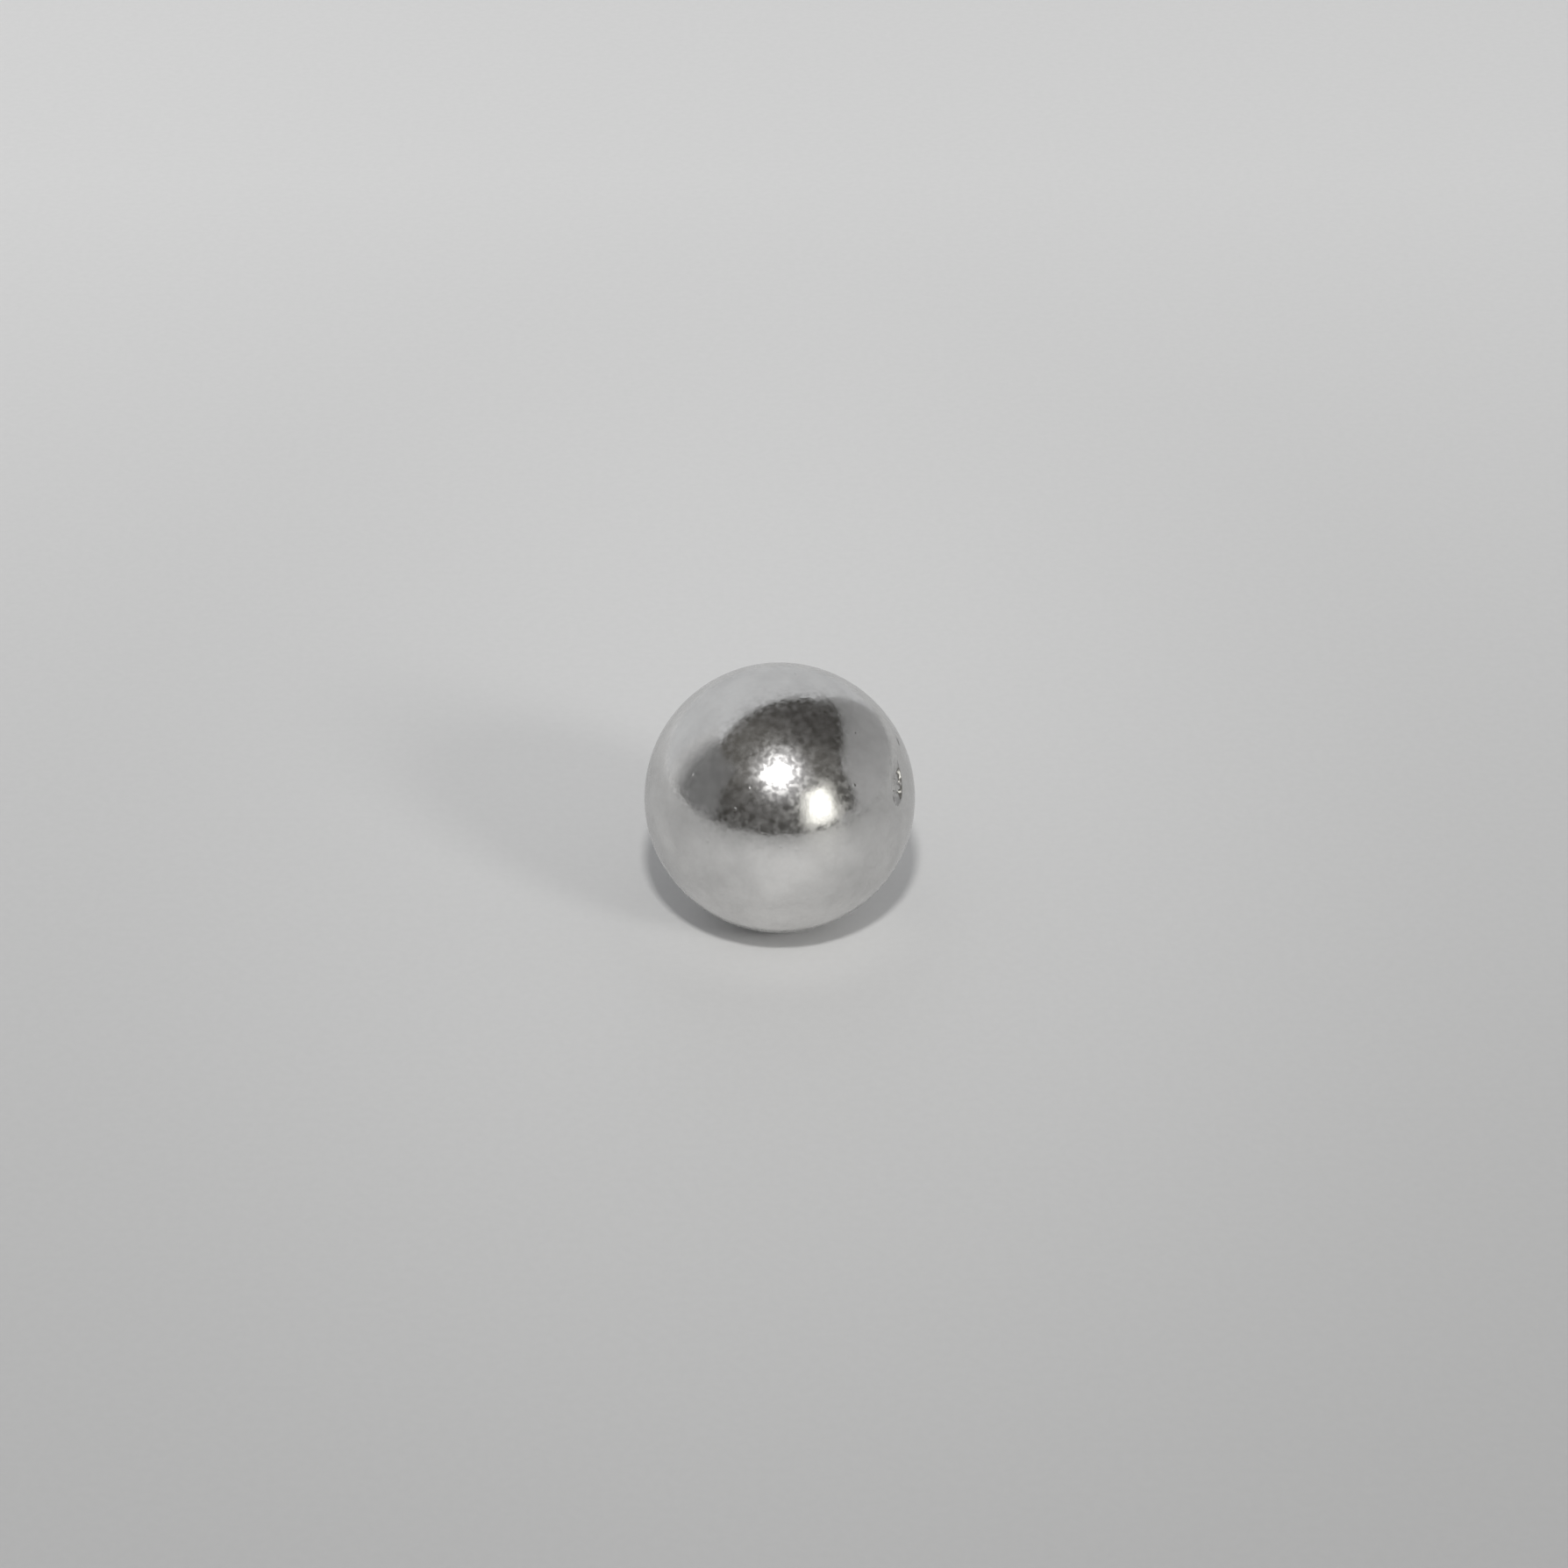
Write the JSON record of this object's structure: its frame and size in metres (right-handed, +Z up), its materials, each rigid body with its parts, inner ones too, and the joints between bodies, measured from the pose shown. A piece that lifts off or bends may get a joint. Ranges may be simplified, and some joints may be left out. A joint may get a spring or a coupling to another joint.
{
  "type": "aluminum ball",
  "caption": "Solid polished aluminium ball with a shallow leaf-shaped dent and a tiny nick in one side, used as a small weight, spacer or rolling element.",
  "frame": {"origin": "centre of the ball", "axes": "+Z up as pictured, so the ball touches what it stands on at the lowest point of its sphere; -Y faces the camera of the picture; +X is the side with the dent"},
  "size_m": [0.015, 0.015, 0.015],
  "materials": {
    "polished_aluminium": "bright polish, slightly hazy, with fine dings and an orange-peel ripple"
  },
  "bodies": {
    "root": {"ball": "polished_aluminium"}
  },
  "joints": []
}
